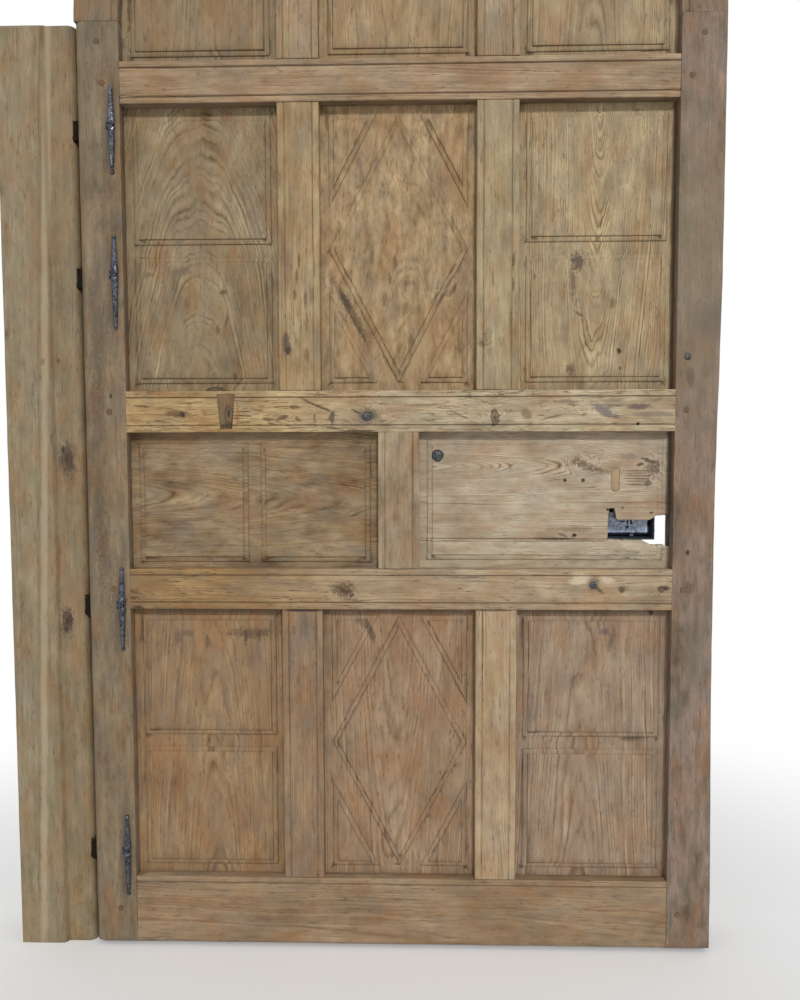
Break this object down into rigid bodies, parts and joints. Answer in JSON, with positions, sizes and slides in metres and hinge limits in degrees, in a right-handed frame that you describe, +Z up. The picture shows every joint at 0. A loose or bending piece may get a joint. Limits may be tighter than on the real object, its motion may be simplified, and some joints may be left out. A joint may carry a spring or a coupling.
{
  "type": "arched wooden door",
  "caption": "Round-arched frame-and-panel pine door on forged pintles in its wooden frame, with a rim lock and a sliding bolt.",
  "frame": {"origin": "centre of the base of the shut door with its frame, at floor level", "axes": "+X to the right seen from outside, +Y through the doorway away from that viewer, +Z up"},
  "size_m": [1.1316, 0.1014, 1.984],
  "materials": {
    "stile_pine": "aged bare pine, worn smooth",
    "rail_pine": "aged bare pine, rubbed",
    "panel_pine": "aged bare pine, flat sawn",
    "frame_pine": "aged bare pine, knotty",
    "peg_pine": "end grain and let-in patches",
    "forged_iron": "forged, rubbed, blue grey",
    "lock_iron": "pitted sheet iron",
    "nail_iron": "dark forged nail heads"
  },
  "bodies": {
    "frame": {"hinge_post": "frame_pine", "lock_post": "frame_pine", "frame_arch_left": "frame_pine", "frame_arch_right": "frame_pine", "frame_pegs": "peg_pine", "keeper_plate": "lock_iron", "pintle_bottom": "forged_iron", "pintle_lower": "forged_iron", "pintle_top": "forged_iron", "pintle_upper": "forged_iron"},
    "leaf": {"bottom_rail": "rail_pine", "case_nails": "lock_iron", "clavo": "nail_iron", "head_muntin_left": "stile_pine", "head_muntin_right": "stile_pine", "head_panel_left": "panel_pine", "head_panel_middle": "panel_pine", "head_panel_right": "panel_pine", "head_rail_left": "stile_pine", "head_rail_right": "stile_pine", "hinge_eye_bottom": "forged_iron", "hinge_eye_lower": "forged_iron", "hinge_eye_top": "forged_iron", "hinge_eye_upper": "forged_iron", "hinge_stile": "stile_pine", "leaf_pegs": "peg_pine", "lock_board_lower": "panel_pine", "lock_board_upper": "panel_pine", "lock_case": "lock_iron", "lock_muntin": "stile_pine", "lock_panel_left": "panel_pine", "lock_stile": "stile_pine", "lower_muntin_left": "stile_pine", "lower_muntin_right": "stile_pine", "lower_panel_left": "panel_pine", "lower_panel_middle": "panel_pine", "lower_panel_right": "panel_pine", "lower_rail": "rail_pine", "panel_patch": "peg_pine", "rail_nail": "nail_iron", "rail_patch": "peg_pine", "rivet": "nail_iron", "spring_rail": "rail_pine", "stile_nail": "nail_iron", "upper_muntin_left": "stile_pine", "upper_muntin_right": "stile_pine", "upper_panel_left": "panel_pine", "upper_panel_middle": "panel_pine", "upper_panel_right": "panel_pine", "upper_rail": "rail_pine"},
    "bolt": {"lock_bolt": "lock_iron"}
  },
  "joints": [
    {"name": "leaf_hinge", "type": "hinge", "parent": "frame", "child": "leaf", "pos_m": [-0.443, -0.02875, 0.74], "axis": [0, 0, -1], "range_deg": [0, 90]},
    {"name": "bolt_slide", "type": "slide", "parent": "leaf", "child": "bolt", "axis": [1, 0, 0], "range_m": [0, 0.048]}
  ]
}
